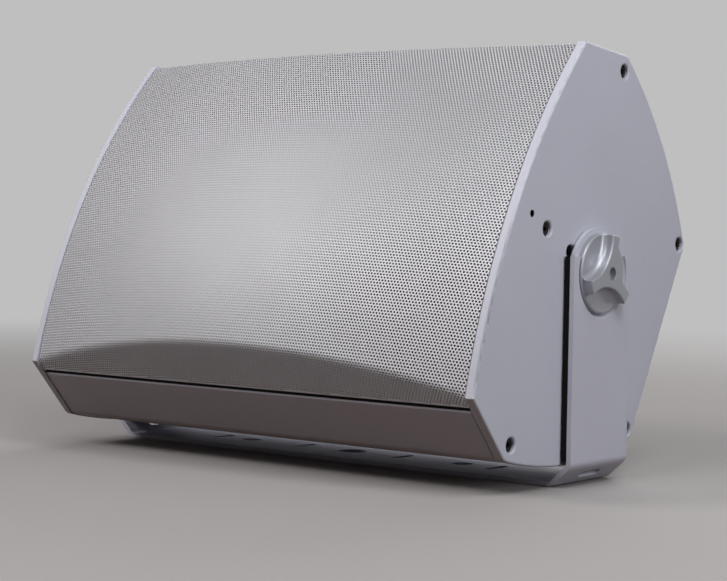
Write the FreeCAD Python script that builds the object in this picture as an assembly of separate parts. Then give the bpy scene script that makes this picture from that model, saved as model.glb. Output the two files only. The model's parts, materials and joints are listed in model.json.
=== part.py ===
import FreeCAD, Part
import math
import os

# Surface-mount bass loudspeaker on a tilting U bracket, in millimetres.
# Row frame: origin under the middle of the bracket's base, X along the cabinet, -Y to the front, +Z up.
# Cabinet frame: origin on the pivot axis, X along the cabinet, u (its Y) to the rear, v (its Z) up the face.

# Stance
tilt_at_rest = 27.8
base_clearance = 11.53

# Side outline of the cabinet, mirrored about v = 0
cabinet_length = 430.0
front_corner_u = -87.9
shoulder_u = -34.6
facet_rise = 21.6
rear_corner_u = 107.8
rear_taper = 79.3
front_crown = 18.0
side_crown = 11.0
corner_round = 10.0
least_round = 1.2

# End caps
cap_thickness = 6.8
cap_edge_round = 1.6
cap_screw_shoulder_du = 1.4
cap_screw_shoulder_dv = 12.5
cap_screw_rear_du = 7.8
cap_screw_rear_dv = 3.0
pivot_screw_u = 32.0
pin_setback = 0.2

# Screws that hold the caps
cap_screw_shank = 4.2
cap_screw_length = 26.0
cap_screw_head = 9.4
cap_screw_head_height = 2.4
cap_screw_sink = 2.6
cap_screw_socket = 4.0
cap_screw_socket_depth = 1.5
counterbore = 10.4
counterbore_edge = 0.9
shank_hole_play = 0.8
thread_play = 0.1

# Shell extrusion
shell_wall = 3.5
shell_reveal = 0.6
cap_gasket_thickness = 1.5
cap_gasket_inset = 0.8
lip_setback = 12.7
lip_step = 2.3
lip_round = 1.2
tongue_play = 0.5
tongue_reach = 4.6
screw_port_wall = 3.9
screw_port_web = 6.0
ledge_thickness = 6.0
ledge_reach = 12.0

# Baffle
baffle_setback = 0.2
baffle_thickness = 18.0
baffle_play = 0.4

# Grille
grille_sheet = 1.2
grille_bow = 22.5
grille_recess = 0.7
grille_crown_radius = 535.0
grille_return_slope = 0.53
grille_gap = 4.0
grille_end_play = 0.5
cloth_thickness = 0.8
cloth_play = 0.2
cloth_trim = 1.5
grille_seal_thickness = 1.3
grille_seal_play = 0.3
pin_diameter = 4.4
pin_play = 0.3
pin_length = 8.0
pin_sink = 2.6

# Driver, turned about the u axis
flange_radius = 129.0
flange_margin = 8.2
flange_lap = 11.5
flange_thickness = 6.0
driver_gasket_thickness = 1.5
basket_wall = 4.0
basket_play = 1.5
basket_windows = 6
basket_spoke = 24.0
spider_behind_cone = 19.2
spider_radius = 80.0
spider_waves = 4
spider_wave_height = 2.4
spider_thickness = 0.9
plate_behind_spider = 18.0
top_plate_thickness = 8.0
top_plate_radius = 68.0
magnet_thickness = 20.0
magnet_radius = 75.0
magnet_hole = 45.0
back_plate_thickness = 8.0
back_plate_radius = 70.0
pole_radius = 24.6
pole_vent = 8.0
coil_gap = 0.7
former_thickness = 0.6
coil_thickness = 0.8
coil_length = 20.0
former_in_neck = 4.0
former_tail = 1.0
roll_margin = 4.5
roll_width = 18.0
roll_thickness = 1.4
roll_land = 6.0
cone_depth = 48.0
cone_thickness = 1.5
dust_cap_radius = 45.0
dust_cap_rise = 14.0
dust_cap_thickness = 1.2
glue_gap = 0.3
driver_screw_edge = 5.5
driver_screws_count = 8
driver_screw_shank = 4.5
driver_screw_head = 8.4
driver_screw_head_height = 3.0
driver_screw_length = 22.0
screw_crown_flat = 0.7

# Rear input
cup_width = 104.0
cup_height = 78.0
cup_flange = 3.0
cup_rim = 11.0
cup_depth = 30.0
cup_wall = 2.5
cup_play = 0.6
cup_corner = 8.0
cup_gasket_thickness = 1.0
cup_screw_inset = 5.5
cup_screw_shank = 3.2
cup_screw_head = 6.0
cup_screw_head_height = 2.2
cup_screw_length = 14.0
block_length = 58.0
block_height = 22.0
block_depth = 13.0
block_fin = 2.4
terminal_count = 4
terminal_screw_head = 7.0
terminal_screw_height = 2.5
terminal_slot = 1.0

# Low-pass filter on the shell's rear wall
board_length = 110.0
board_height = 90.0
board_thickness = 1.6
board_from_end = 93.0
standoff_height = 8.0
standoff_radius = 4.0
board_inset = 7.0
coil_outer = 27.0
coil_inner = 13.0
coil_height = 26.0
coil_offset = 26.0
capacitor_radius = 10.0
capacitor_length = 42.0
capacitor_pitch = 24.0

# Damping felt
lining_thickness = 16.0
lining_half_length = 185.0
lining_start_u = -18.0
lining_end_u = 78.0

# Tilt pivot
bracket_thickness = 3.5
washer_thickness = 1.0
washer_radius = 25.0
stud_radius = 4.0
stud_play = 0.08
stud_length = 34.0
stud_in_knob = 7.0
pivot_plate_length = 92.0
pivot_plate_height = 34.0
pivot_plate_thickness = 4.0
pivot_boss_radius = 9.0
pivot_boss_play = 0.15

# U bracket
bracket_width = 75.0
bracket_gap = 5.5
bracket_bend_run = 16.0
bracket_bend_rise = 14.4
bracket_bend_round = 4.0
shoulder_above_pivot = 12.5
head_radius = 32.0
seat_radius = 29.0
seat_slope = 3.0
seat_wall = 1.0
slot_width = 6.5
slot_length = 25.0
slot_near_x = 49.5
slot_far_x = 137.0
base_hole_radius = 8.0
base_hole_x = 106.0
centre_hole_radius = 11.0
pad_play = 1.0
pad_margin = 0.4
pad_from_bend = 4.0

# Knobs
knob_radius = 28.3
knob_disc = 4.5
knob_height = 12.5
knob_bay_count = 3
knob_turn = 80.0
knob_arm_width = 10.0
knob_hub_radius = 10.0
knob_edge = 0.9
knob_root = 4.0
knob_hole_radius = 4.6
knob_hole_depth = 4.5

# Values that follow from the sizes above
V = FreeCAD.Vector
along_x = V(1, 0, 0)
along_u = V(0, 1, 0)
along_v = V(0, 0, 1)
half_length = cabinet_length / 2
front_corner_v = flange_radius + flange_margin
shoulder_v = front_corner_v + facet_rise
rear_corner_v = shoulder_v - rear_taper
tilt_cos = math.cos(math.radians(tilt_at_rest))
tilt_sin = math.sin(math.radians(tilt_at_rest))
shoulder_drop = shoulder_v * tilt_cos + shoulder_u * tilt_sin
rear_drop = rear_corner_v * tilt_cos + rear_corner_u * tilt_sin
pivot_height = bracket_thickness + base_clearance + side_crown + (shoulder_drop + rear_drop) / 2
cap_screw_front_u = shoulder_u + cap_screw_shoulder_du
cap_screw_front_v = shoulder_v - cap_screw_shoulder_dv
cap_screw_rear_u = rear_corner_u - cap_screw_rear_du
cap_screw_rear_v = rear_corner_v - cap_screw_rear_dv
pin_u = front_corner_u + pin_setback
cap_inner_x = half_length - cap_thickness
shell_half = cap_inner_x - cap_gasket_thickness
facet_slope = (shoulder_v - front_corner_v) / (shoulder_u - front_corner_u)
facet_stretch = math.hypot(1, facet_slope)
lip_u = front_corner_u + lip_setback
baffle_front = lip_u + baffle_setback
baffle_middle_u = baffle_front + baffle_thickness / 2
baffle_rear = baffle_front + baffle_thickness
tongue_half = cap_inner_x - grille_end_play - grille_sheet - tongue_play
arm_inner_x = half_length + bracket_gap
arm_outer_x = arm_inner_x + bracket_thickness
seat_inner_x = half_length + washer_thickness
seat_outer_x = seat_inner_x + bracket_thickness
knob_top_x = seat_outer_x + knob_height
cutter_reach = cabinet_length
ahead_u = front_corner_u - 2 * (front_crown + grille_bow)
wall_outer_u = rear_corner_u - shell_reveal
wall_inner_u = wall_outer_u - shell_wall
touch = 0.01
spare_angle = 1.0


def facet_v(u, inset):
    """Height of the upper front facet, moved in by inset, at u."""
    return front_corner_v + (u - front_corner_u) * facet_slope - inset * facet_stretch


def polygon(points, x):
    """Flat face through (u, v) points at one X."""
    corners = [V(x, u, v) for u, v in points]
    return Part.Face(Part.makePolygon(corners + corners[:1]))


def bulge(start, end, crown):
    """Middle point of an arc that stands out from its chord by crown, away from the pivot axis."""
    middle = (start + end) * 0.5
    chord = end - start
    out = V(0, chord.z, -chord.y).normalize()
    if out.dot(V(0, middle.y, middle.z)) < 0:
        out = out * -1
    return middle + out * crown


def arc(start, end, crown):
    return Part.Arc(start, bulge(start, end, crown), end).toShape()


def outline(inset, x):
    """Six-sided side view with crowned front and rear quarters, moved in by inset, at one X."""
    a = V(x, front_corner_u, front_corner_v)
    b = V(x, shoulder_u, shoulder_v)
    c = V(x, rear_corner_u, rear_corner_v)
    d, e, f = (V(p.x, p.y, -p.z) for p in (c, b, a))
    edges = [Part.makeLine(a, b), arc(b, c, side_crown), Part.makeLine(c, d), arc(d, e, side_crown),
             Part.makeLine(e, f), arc(f, a, front_crown)]
    face = Part.Face(Part.Wire(edges))
    return face.makeOffset2D(-inset, 2) if inset else face


def near(value, target, reach):
    return abs(value - target) < reach


def cabinet_prism(inset, x_start, length):
    """Solid of the side view with its four rear corners rounded."""
    solid = outline(inset, x_start).extrude(V(length, 0, 0))
    reach = corner_round + inset
    corners = [(shoulder_u, shoulder_v), (rear_corner_u, rear_corner_v)]
    edges = []
    for edge in solid.Edges:
        middle = edge.CenterOfMass
        if near(edge.Length, length, touch) and near(middle.x, x_start + length / 2, touch):
            if any(near(middle.y, u, reach) and near(abs(middle.z), v, reach) for u, v in corners):
                edges.append(edge)
    return solid.makeFillet(max(corner_round - inset, least_round), edges)


def turned(points):
    """Solid turned about the u axis from (radius, u) points."""
    corners = [V(r, u, 0) for r, u in points]
    return Part.Face(Part.makePolygon(corners + corners[:1])).revolve(V(0, 0, 0), along_u, 360)


def spun(points, u=0.0, v=0.0):
    """Solid turned about a line along X through (u, v) from (x, radius) points."""
    corners = [V(x, u + r, v) for x, r in points]
    return Part.Face(Part.makePolygon(corners + corners[:1])).revolve(V(0, u, v), along_x, 360)


def rod(radius, start, length, direction):
    return Part.makeCylinder(radius, length, start, direction)


def slab(x0, x1, u0, u1, v0, v1):
    return Part.makeBox(x1 - x0, u1 - u0, v1 - v0, V(x0, u0, v0))


def both_sides(solid):
    """The solid and its mirror image across v = 0."""
    return [solid, solid.mirror(V(0, 0, 0), along_v)]


def left_hand(solid):
    return solid.mirror(V(0, 0, 0), along_x)


def group(solids):
    return Part.makeCompound(solids)


def corner_screw_places():
    """(u, v) of the screws that go through a cap into the shell's ports."""
    places = ((cap_screw_front_u, cap_screw_front_v), (cap_screw_rear_u, cap_screw_rear_v))
    return [(u, side * v) for u, v in places for side in (1, -1)]


def long_screw_places():
    """The corner screws and the one into the baffle's end."""
    return corner_screw_places() + [(baffle_middle_u, 0.0)]


def pivot_screw_places():
    return [(-pivot_screw_u, 0.0), (pivot_screw_u, 0.0)]


def end_cap():
    """Thick plate with a rounded outer rim, counterbored holes, the pivot hole and the pin hole."""
    plate = cabinet_prism(0.0, cap_inner_x, cap_thickness)
    rim = [edge for edge in plate.Edges if all(near(p.Point.x, half_length, touch) for p in edge.Vertexes)]
    plate = plate.makeFillet(cap_edge_round, rim)
    cuts = [rod(pivot_boss_radius + pivot_boss_play, V(cap_inner_x, 0, 0), cap_thickness, along_x),
            rod(pin_diameter / 2 + thread_play / 2, V(cap_inner_x, pin_u, 0), cap_thickness, along_x)]
    depth = cap_screw_sink + cap_screw_head_height
    for u, v in long_screw_places() + pivot_screw_places():
        cuts.append(rod((cap_screw_shank + shank_hole_play) / 2, V(cap_inner_x, u, v), cap_thickness, along_x))
        bore = counterbore / 2
        edge = counterbore_edge
        # the chamfer's cone runs on past the outer face, so that no cutter ends in it beside the rounded rim
        cuts.append(spun([(half_length - depth, 0), (half_length - depth, bore), (half_length - edge, bore),
                          (half_length + edge, bore + 2 * edge), (half_length + edge, 0)], u, v))
    return plate.cut(cuts)


def hexagon_pocket(across, x, depth, u, v):
    radius = across / math.sqrt(3)
    points = [(u + radius * math.cos(math.radians(60 * k)), v + radius * math.sin(math.radians(60 * k)))
              for k in range(6)]
    return polygon(points, x - depth).extrude(V(depth, 0, 0))


def cap_screws():
    """Socket screws seated in the counterbores, short ones in the pivot plate."""
    top = half_length - cap_screw_sink
    under = top - cap_screw_head_height
    tips = [(u, v, under - cap_screw_length) for u, v in long_screw_places()]
    tips += [(u, v, cap_inner_x - pivot_plate_thickness) for u, v in pivot_screw_places()]
    screws = []
    for u, v, tip in tips:
        screw = spun([(tip, 0), (tip, cap_screw_shank / 2), (under, cap_screw_shank / 2),
                      (under, cap_screw_head / 2), (top, cap_screw_head / 2), (top, 0)], u, v)
        screws.append(screw.cut(hexagon_pocket(cap_screw_socket, top, cap_screw_socket_depth, u, v)))
    return group(screws)


def front_wedge(inset, u_front, u_rear, x_half):
    """Space between the two front facets moved in by inset, from u_front to u_rear."""
    points = [(u_rear, facet_v(u_rear, inset)), (u_front, facet_v(u_front, inset)),
              (u_front, -facet_v(u_front, inset)), (u_rear, -facet_v(u_rear, inset))]
    return polygon(points, -x_half).extrude(V(2 * x_half, 0, 0))


def wall_section(inset, wall, x_start, length):
    """Closed ring of wall with its front opened between the facets."""
    ring = cabinet_prism(inset, x_start, length).cut(cabinet_prism(inset + wall, x_start, length))
    opening = front_wedge(inset + wall, ahead_u, baffle_front, half_length)
    return ring.cut(opening)


def lip_cut():
    """Outer skin that is taken off in front of the lip, leaving a thin tongue between the grille's end flanges."""
    inset = shell_reveal + lip_step
    points = [(lip_u, facet_v(lip_u, inset)), (ahead_u, facet_v(ahead_u, inset)), (ahead_u, shoulder_v),
              (lip_u, shoulder_v)]
    skin = polygon(points, -half_length).extrude(V(cabinet_length, 0, 0))
    end = slab(tongue_half, half_length, ahead_u, lip_u, -shoulder_v, shoulder_v)
    front = slab(-half_length, half_length, ahead_u, lip_u - tongue_reach, -shoulder_v, shoulder_v)
    return both_sides(skin) + [end, left_hand(end), front]


def screw_port(u, v, corner_u, corner_v):
    """Tube for a cap screw with a web to the nearest corner of the wall."""
    radius = cap_screw_shank / 2 + screw_port_wall
    tube = rod(radius, V(-shell_half, u, v), 2 * shell_half, along_x)
    reach = math.hypot(corner_u - u, corner_v - v)
    web = slab(-shell_half, shell_half, -screw_port_web / 2, screw_port_web / 2, 0, reach)
    web.rotate(V(0, 0, 0), along_x, math.degrees(math.atan2(corner_v - v, corner_u - u)) - 90)
    web.translate(V(0, u, v))
    return tube.fuse(web)


def enclosure_shell():
    """Extruded wall with stepped front lips, four screw ports, baffle ledges and the rear input opening."""
    body = wall_section(shell_reveal, shell_wall, -shell_half, 2 * shell_half).cut(lip_cut())
    lip_v = facet_v(lip_u, shell_reveal)
    lips = [edge for edge in body.Edges if near(edge.CenterOfMass.y, lip_u, touch)
            and near(abs(edge.CenterOfMass.z), lip_v, touch)]
    body = body.makeFillet(lip_round, lips)
    envelope = cabinet_prism(shell_reveal + shell_wall / 2, -shell_half, 2 * shell_half)
    ports = [screw_port(cap_screw_front_u, cap_screw_front_v, shoulder_u, shoulder_v),
             screw_port(cap_screw_rear_u, cap_screw_rear_v, rear_corner_u, rear_corner_v)]
    ledge_low = facet_v(baffle_front, shell_reveal + shell_wall) - ledge_reach
    ledge = slab(-shell_half, shell_half, baffle_rear, baffle_rear + ledge_thickness, ledge_low, shoulder_v)
    ribs = []
    for rib in ports + [ledge]:
        ribs += both_sides(rib.common(envelope))
    body = body.fuse(ribs).removeSplitter()
    holes = []
    for u, v in corner_screw_places():
        holes.append(rod((cap_screw_shank + thread_play) / 2, V(-shell_half, u, v), 2 * shell_half, along_x))
    for x, v in cup_screw_places() + standoff_places():
        holes.append(rod((cup_screw_shank + thread_play) / 2, V(x, wall_inner_u, v), shell_wall, along_u))
    width, height = cup_opening(cup_play)
    return body.cut(holes + [rounded_box(width, height, wall_inner_u, wall_outer_u, cup_corner)])


def cap_gasket():
    return wall_section(shell_reveal + cap_gasket_inset, shell_wall - cap_gasket_inset, shell_half,
                        cap_gasket_thickness).cut(lip_cut())


def baffle():
    """Panel with the driver's cutout, screw holes for the driver and end holes for the caps."""
    x_half = cap_inner_x - grille_end_play
    top = facet_v(baffle_front, shell_reveal + shell_wall) - baffle_play
    panel = slab(-x_half, x_half, baffle_front, baffle_rear, -top, top)
    cuts = [rod(cutout_radius, V(0, baffle_front, 0), baffle_thickness, along_u)]
    for x, v in driver_screw_places():
        cuts.append(rod((driver_screw_shank + thread_play) / 2, V(x, baffle_front, v), baffle_thickness, along_u))
    hole = (cap_screw_shank + thread_play) / 2
    for side in (1, -1):
        cuts.append(rod(hole, V(side * x_half, baffle_middle_u, 0), cap_screw_length, along_x * -side))
    return panel.cut(cuts)


def dome(offset, x_half):
    """Space behind the grille's front face: an arc swept about an upright line behind the cabinet."""
    rear = front_corner_u + front_crown
    end_crest = front_corner_u - front_crown + grille_recess
    sweep = (cap_inner_x ** 2 + grille_bow ** 2) / (2 * grille_bow)
    crest = end_crest - grille_bow + offset
    axis_u = end_crest - grille_bow + sweep
    radius = grille_crown_radius - offset
    top = shoulder_v
    sag = radius - math.sqrt(radius ** 2 - top ** 2)
    high = V(0, crest + sag, top)
    low = V(0, crest + sag, -top)
    back_high = V(0, rear, top)
    back_low = V(0, rear, -top)
    edges = [Part.Arc(high, V(0, crest, 0), low).toShape(), Part.makeLine(low, back_low),
             Part.makeLine(back_low, back_high), Part.makeLine(back_high, high)]
    face = Part.Face(Part.Wire(edges))
    half_angle = math.degrees(math.asin(x_half / (axis_u - rear))) + spare_angle
    face.rotate(V(0, axis_u, 0), along_v, -half_angle)
    return face.revolve(V(0, axis_u, 0), along_v, 2 * half_angle)


def grille_space(offset, x_half, rim_u):
    """Inside of a pan with sloping returns and a bowed front, moved in by offset and open behind rim_u."""
    return_u = lip_u - grille_gap
    return_v = facet_v(return_u, shell_reveal) - offset * math.hypot(1, grille_return_slope)
    front_v = return_v - (return_u - ahead_u) * grille_return_slope
    rim_v = return_v - (return_u - rim_u) * grille_return_slope
    points = [(rim_u, rim_v), (ahead_u, front_v), (ahead_u, -front_v), (rim_u, -rim_v)]
    return polygon(points, -x_half).extrude(V(2 * x_half, 0, 0)).common(dome(offset, x_half))


def grille_pan(offset, sheet, rim_u):
    x_half = cap_inner_x - grille_end_play - offset
    return grille_space(offset, x_half, rim_u).cut(grille_space(offset + sheet, x_half - sheet, rim_u))


def pin_holes(radius):
    return [rod(radius, V(side * (half_length - 2 * pin_length), pin_u, 0), 2 * pin_length, along_x * side)
            for side in (1, -1)]


def grille():
    """Bowed sheet with returns on all four sides and a pin hole in each end."""
    return grille_pan(0.0, grille_sheet, lip_u - grille_gap).cut(pin_holes(pin_diameter / 2 + pin_play))


def grille_cloth():
    """Cloth behind the sheet, trimmed in front of the shell's tongues."""
    pan = grille_pan(grille_sheet + cloth_play, cloth_thickness, front_corner_u - cloth_trim)
    return pan.cut(pin_holes(pin_diameter / 2 + pin_play))


def grille_seals():
    """Foam strips on the shell's tongues, in the gaps behind the grille's returns."""
    inner = shell_reveal + lip_step
    outer = inner - grille_seal_thickness
    front_u = lip_u - grille_gap + grille_seal_play
    points = [(lip_u, facet_v(lip_u, inner)), (front_u, facet_v(front_u, inner)),
              (front_u, facet_v(front_u, outer)), (lip_u, facet_v(lip_u, outer))]
    return group(both_sides(polygon(points, -tongue_half).extrude(V(2 * tongue_half, 0, 0))))


def grille_pins():
    """Headless screws through the caps into the grille's end flanges."""
    outer = half_length - pin_sink
    pin = spun([(outer - pin_length, 0), (outer - pin_length, pin_diameter / 2), (outer, pin_diameter / 2),
                (outer, 0)], pin_u, 0.0)
    return group([pin, left_hand(pin)])


# Driver radii and levels along u
cutout_radius = flange_radius - flange_lap
driver_screw_circle = flange_radius - driver_screw_edge
roll_outer = cutout_radius - roll_margin
roll_inner = roll_outer - roll_width
flange_rear = baffle_front - driver_gasket_thickness
flange_front = flange_rear - flange_thickness
roll_seat = flange_front + flange_thickness / 2
roll_rear = roll_seat
cone_front = roll_rear + glue_gap
former_inner = pole_radius + coil_gap
former_outer = former_inner + former_thickness
coil_outer_radius = former_outer + coil_thickness
top_plate_hole = coil_outer_radius + coil_gap
cone_small = former_outer + glue_gap
cone_rear = cone_front + cone_depth
spider_seat_u = cone_rear + spider_behind_cone
top_plate_u = spider_seat_u + plate_behind_spider
magnet_u = top_plate_u + top_plate_thickness
back_plate_u = magnet_u + magnet_thickness
coil_middle = top_plate_u + top_plate_thickness / 2
former_front_u = cone_rear - former_in_neck
former_rear_u = coil_middle + coil_length / 2 + former_tail


def driver_screw_places():
    step = 360.0 / driver_screws_count
    angles = [math.radians(step * (k + 0.5)) for k in range(driver_screws_count)]
    return [(driver_screw_circle * math.cos(t), driver_screw_circle * math.sin(t)) for t in angles]


def basket():
    """Cast frame: flange with a ledge for the roll, six spokes, a spider ring and a rear plate."""
    ledge = roll_outer + roll_land + glue_gap
    wall_top = cutout_radius - basket_play
    ring_out = spider_radius + basket_wall
    seat = spider_seat_u + spider_thickness
    rear_hole = top_plate_hole + 2 * basket_wall
    frame = turned([
        (ledge, flange_front), (flange_radius, flange_front), (flange_radius, flange_rear), (wall_top, flange_rear),
        (wall_top, flange_rear + 2 * basket_wall), (ring_out, seat), (ring_out, seat + basket_wall),
        (top_plate_radius, top_plate_u - basket_wall), (top_plate_radius, top_plate_u), (rear_hole, top_plate_u),
        (rear_hole, top_plate_u - basket_wall), (top_plate_radius - 2 * basket_wall, top_plate_u - basket_wall),
        (spider_radius - 2 * basket_wall, seat + basket_wall), (spider_radius - 2 * basket_wall, seat),
        (spider_radius, seat), (spider_radius, seat - spider_thickness - glue_gap),
        (wall_top - basket_wall, flange_rear + 2 * basket_wall), (roll_outer, roll_seat + basket_wall / 2),
        (roll_outer, roll_seat), (ledge, roll_seat)])
    window_front = flange_rear + 3 * basket_wall
    window_rear = seat - basket_wall
    spokes = []
    for k in range(basket_windows):
        spoke = slab(-basket_spoke / 2, basket_spoke / 2, window_front, window_rear, 0, 2 * flange_radius)
        spoke.rotate(V(0, 0, 0), along_u, 360.0 / basket_windows * k)
        spokes.append(spoke)
    windows = rod(flange_radius, V(0, window_front, 0), window_rear - window_front, along_u).cut(spokes)
    holes = [rod((driver_screw_shank + shank_hole_play) / 2, V(x, flange_front, v), flange_thickness, along_u)
             for x, v in driver_screw_places()]
    return frame.cut([windows] + holes)


def driver_gasket():
    ring = turned([(cutout_radius, flange_rear), (flange_radius, flange_rear), (flange_radius, baffle_front),
                   (cutout_radius, baffle_front)])
    return ring.cut([rod((driver_screw_shank + shank_hole_play) / 2, V(x, flange_rear, v), driver_gasket_thickness,
                         along_u) for x, v in driver_screw_places()])


def driver_screws():
    shank = driver_screw_shank / 2
    head = driver_screw_head / 2
    screws = []
    for x, v in driver_screw_places():
        top = flange_front - driver_screw_head_height
        screw = turned([(0, top), (head * screw_crown_flat, top), (head, top + driver_screw_head_height / 2),
                        (head, flange_front), (shank, flange_front), (shank, flange_front + driver_screw_length),
                        (0, flange_front + driver_screw_length)])
        screw.translate(V(x, 0, v))
        screws.append(screw)
    return group(screws)


def half_roll(thickness_inset):
    """Half-circle edge of the surround in the plane of the axis, bulging to the front."""
    radius = (roll_outer - roll_inner) / 2 - thickness_inset
    middle = (roll_outer + roll_inner) / 2
    return Part.Arc(V(middle - radius, roll_rear, 0), V(middle, roll_rear - radius, 0),
                    V(middle + radius, roll_rear, 0)).toShape()


def surround():
    """Half-roll ring with a land on each side."""
    front = roll_rear - roll_thickness
    outer = half_roll(0.0)
    inner = half_roll(roll_thickness)
    lift = math.sqrt(((roll_outer - roll_inner) / 2) ** 2 - roll_thickness ** 2)
    middle = (roll_outer + roll_inner) / 2
    crest = Part.Arc(V(middle - lift, front, 0), V(middle, roll_rear - (roll_outer - roll_inner) / 2, 0),
                     V(middle + lift, front, 0)).toShape()
    rim = roll_outer + roll_land
    points = [V(middle + lift, front, 0), V(rim, front, 0), V(rim, roll_rear, 0), inner.Vertexes[-1].Point]
    back = [inner.Vertexes[0].Point, V(roll_inner - roll_land, roll_rear, 0), V(roll_inner - roll_land, front, 0),
            V(middle - lift, front, 0)]
    edges = [crest, inner] + Part.makePolygon(points).Edges + Part.makePolygon(back).Edges
    face = Part.Face(Part.Wire(Part.__sortEdges__(edges)))
    return face.revolve(V(0, 0, 0), along_u, 360)


def cone():
    """Straight-sided cone with a flat rim under the surround's inner land."""
    rim_out = roll_inner
    rim_in = roll_inner - roll_land
    back = cone_front + cone_thickness
    return turned([(rim_in, cone_front), (rim_out, cone_front), (rim_out, back), (rim_in + cone_thickness, back),
                   (cone_small + cone_thickness, cone_rear), (cone_small, cone_rear)])


def cone_u(radius):
    """Level of the cone's front face at a radius."""
    rim_in = roll_inner - roll_land
    return cone_front + (rim_in - radius) / (rim_in - cone_small) * cone_depth


def dust_cap():
    """Shallow dome glued on the front of the cone."""
    edge_u = cone_u(dust_cap_radius) - glue_gap
    sphere = (dust_cap_radius ** 2 + dust_cap_rise ** 2) / (2 * dust_cap_rise)
    centre = V(0, edge_u - dust_cap_rise + sphere, 0)
    shell = Part.makeSphere(sphere, centre).cut(Part.makeSphere(sphere - dust_cap_thickness, centre))
    keep = rod(dust_cap_radius, V(0, edge_u - 2 * dust_cap_rise, 0), 2 * dust_cap_rise, along_u)
    return shell.common(keep)


def spider():
    """Corrugated disc between the former and the basket's ring."""
    inner = former_outer + glue_gap
    land = spider_radius - basket_wall - glue_gap
    wave = (land - inner - 2 * basket_wall) / (2 * spider_waves)
    front = [(inner, spider_seat_u)]
    for k in range(2 * spider_waves):
        height = spider_wave_height if k % 2 else -spider_wave_height
        front.append((inner + basket_wall + wave * (k + 0.5), spider_seat_u + height))
    front += [(land - basket_wall, spider_seat_u), (spider_radius - glue_gap, spider_seat_u)]
    back = [(r, u + spider_thickness) for r, u in reversed(front)]
    return turned(front + back)


def voice_coil_former():
    return turned([(former_inner, former_front_u), (former_outer, former_front_u), (former_outer, former_rear_u),
                   (former_inner, former_rear_u)])


def voice_coil():
    front = coil_middle - coil_length / 2
    rear = coil_middle + coil_length / 2
    return turned([(former_outer, front), (coil_outer_radius, front), (coil_outer_radius, rear),
                   (former_outer, rear)])


def ring_plate(inner, outer, front, thickness):
    return turned([(inner, front), (outer, front), (outer, front + thickness), (inner, front + thickness)])


def yoke():
    """Back plate and vented pole in one turned piece."""
    rear = back_plate_u + back_plate_thickness
    return turned([(pole_vent, top_plate_u), (pole_radius, top_plate_u), (pole_radius, back_plate_u),
                   (back_plate_radius, back_plate_u), (back_plate_radius, rear), (pole_vent, rear)])


def rounded_box(width, height, u0, u1, corner):
    """Box centred on the u axis with its four long edges rounded."""
    box = slab(-width / 2, width / 2, u0, u1, -height / 2, height / 2)
    edges = [edge for edge in box.Edges if edge.BoundBox.YLength > (u1 - u0) / 2]
    return box.makeFillet(corner, edges)


def cup_opening(play):
    return cup_width - 2 * cup_rim + 2 * play, cup_height - 2 * cup_rim + 2 * play


def cup_screw_places():
    x = cup_width / 2 - cup_screw_inset
    v = cup_height / 2 - cup_screw_inset
    return [(sx * x, sv * v) for sx in (1, -1) for sv in (1, -1)]


# Levels of the rear input along u
cup_seat_u = wall_outer_u + cup_gasket_thickness
cup_floor_u = cup_seat_u - cup_depth


def terminal_cup():
    """Moulded cup with a flange outside the rear wall and a recess for the screw terminals."""
    flange = rounded_box(cup_width, cup_height, cup_seat_u, cup_seat_u + cup_flange, cup_corner)
    width, height = cup_opening(0.0)
    bowl = rounded_box(width, height, cup_floor_u - cup_wall, cup_seat_u, cup_corner)
    hollow = rounded_box(width - 2 * cup_wall, height - 2 * cup_wall, cup_floor_u, cup_seat_u + cup_flange,
                         cup_corner - cup_wall)
    holes = [rod((cup_screw_shank + shank_hole_play) / 2, V(x, cup_seat_u, v), cup_flange, along_u)
             for x, v in cup_screw_places()]
    return flange.fuse(bowl).cut([hollow] + holes).removeSplitter()


def terminal_gasket():
    width, height = cup_opening(cup_play)
    frame = rounded_box(cup_width, cup_height, wall_outer_u, cup_seat_u, cup_corner)
    holes = [rod((cup_screw_shank + shank_hole_play) / 2, V(x, wall_outer_u, v), cup_gasket_thickness, along_u)
             for x, v in cup_screw_places()]
    return frame.cut([rounded_box(width, height, wall_outer_u, cup_seat_u, cup_corner)] + holes)


def cup_screws():
    seat = cup_seat_u + cup_flange
    top = seat + cup_screw_head_height
    tip = seat - cup_screw_length
    shank = cup_screw_shank / 2
    head = cup_screw_head / 2
    screws = []
    for x, v in cup_screw_places():
        screw = turned([(0, tip), (shank, tip), (shank, seat), (head, seat), (head, seat + cup_screw_head_height / 2),
                        (head * screw_crown_flat, top), (0, top)])
        screw.translate(V(x, 0, v))
        screws.append(screw)
    return group(screws)


def terminal_pitch():
    return (block_length - block_fin) / terminal_count


def terminal_block():
    """Barrier strip: a bar with a fin on each side of every terminal."""
    start = -block_length / 2
    half = block_height / 2
    bar = slab(start, -start, cup_floor_u, cup_floor_u + block_depth / 2, -half, half)
    fins = []
    for k in range(terminal_count + 1):
        x = start + terminal_pitch() * k
        fins.append(slab(x, x + block_fin, cup_floor_u, cup_floor_u + block_depth, -half, half))
    return bar.fuse(fins).removeSplitter()


def terminal_screws():
    seat = cup_floor_u + block_depth / 2
    screws = []
    for k in range(terminal_count):
        x = -block_length / 2 + terminal_pitch() * (k + 0.5) + block_fin / 2
        screw = rod(terminal_screw_head / 2, V(x, seat, 0), terminal_screw_height, along_u)
        slot = slab(x - terminal_screw_head, x + terminal_screw_head, seat + terminal_screw_height / 2,
                    seat + terminal_screw_height, -terminal_slot / 2, terminal_slot / 2)
        screws.append(screw.cut(slot))
    return group(screws)


# Place of the filter board
board_x = half_length - board_from_end
board_rear_u = wall_inner_u - standoff_height
board_front_u = board_rear_u - board_thickness


def standoff_places():
    x = board_length / 2 - board_inset
    v = board_height / 2 - board_inset
    return [(board_x + sx * x, sv * v) for sx in (1, -1) for sv in (1, -1)]


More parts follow.
